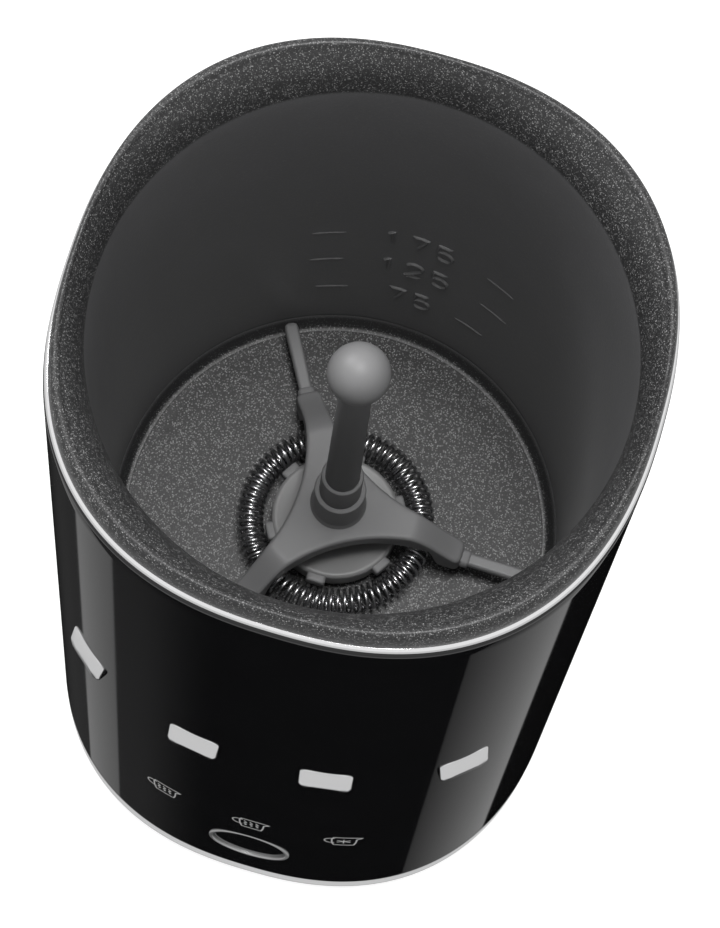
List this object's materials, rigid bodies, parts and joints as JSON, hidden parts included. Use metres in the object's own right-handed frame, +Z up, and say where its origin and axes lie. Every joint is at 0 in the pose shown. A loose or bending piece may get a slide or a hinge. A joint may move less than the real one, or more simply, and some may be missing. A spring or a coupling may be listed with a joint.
{
  "type": "milk frother",
  "caption": "Squared-round electric milk frother with heated inner cup, magnet-driven whisk with coiled ring, front push button and bottom power socket.",
  "frame": {"origin": "middle of the surface the frother stands on", "axes": "+Z up along the cup's axis, -Y towards the button, +X to the right seen from the button's side"},
  "size_m": [0.0942, 0.0983, 0.168],
  "materials": {
    "gloss_black": "high gloss black lacquer",
    "chrome": "polished bright trim",
    "cup_coating": "satin grey non-stick coating with fine pale specks",
    "whisk_plastic": "satin moulded grey",
    "spring_steel": "bright drawn wire",
    "black_plastic": "fine matt moulded black",
    "rubber": "matt black",
    "silicone": "soft grey",
    "steel": "plain steel",
    "magnet": "nickel plated",
    "ferrite": "dull grey ferrite",
    "spreader": "machined aluminium",
    "element": "dull heater sheath",
    "bronze": "sintered bronze",
    "brass": "bare contacts",
    "copper": "enamelled copper windings",
    "board": "green solder mask",
    "component": "moulded component bodies",
    "white_plastic": "plain moulded white",
    "lamp": "clear lamp resin",
    "ceramic": "ceramic",
    "wire_cover": "wire insulation",
    "smoked_window": "smoked window with pale outline print"
  },
  "bodies": {
    "root": {"outer_shell": "gloss_black", "top_trim_ring": "chrome", "bottom_trim_ring": "chrome", "base_cover": "black_plastic", "foot_ring": "rubber", "base_screws": "steel", "chassis": "black_plastic", "inner_cup": "cup_coating", "cup_gasket": "silicone", "centre_pin": "steel", "badge_bars": "chrome", "icon_windows": "smoked_window", "button_ring": "chrome", "button_guide": "black_plastic", "tact_switch": "black_plastic", "front_board": "board", "lamps": "lamp", "light_guides": "lamp", "ribbon_cable": "white_plastic", "control_board": "board", "relay": "component", "capacitor": "component", "control_chip": "black_plastic", "connector_socket": "black_plastic", "connector_contacts": "brass", "heat_spreader": "spreader", "heating_element": "element", "thermostat": "steel", "thermal_fuse": "ceramic", "temperature_sensor": "ceramic", "cup_studs": "steel", "bracket_spacers": "steel", "rubber_mounts": "rubber", "stud_nuts": "steel", "motor_bracket": "steel", "motor_screws": "steel", "motor_can": "steel", "motor_end_cap": "white_plastic", "upper_bush": "bronze", "lower_bush": "bronze", "field_magnets": "ferrite", "brushes": "ferrite", "wiring": "wire_cover"},
    "rotor": {"motor_shaft": "steel", "armature": "copper", "commutator": "copper", "magnet_carrier": "white_plastic", "drive_magnets": "magnet"},
    "whisk": {"whisk_frame": "whisk_plastic", "whisk_stem": "whisk_plastic", "whisk_disc": "whisk_plastic", "whisk_magnets": "magnet", "whisk_spring": "spring_steel"},
    "button": {"push_button": "gloss_black", "switch_plunger": "white_plastic"}
  },
  "joints": [
    {"name": "drive_spin", "type": "hinge", "parent": "root", "child": "rotor", "pos_m": [0, 0, 0.05], "axis": [0, 0, 1], "continuous": true},
    {"name": "whisk_lift", "type": "slide", "parent": "rotor", "child": "whisk", "axis": [0, 0, 1], "range_m": [0, 0.1]},
    {"name": "button_press", "type": "slide", "parent": "root", "child": "button", "axis": [0, 1, 0], "range_m": [0, 0.0008], "stiffness_N_per_m": 1500, "springref_m": -0.0005}
  ]
}
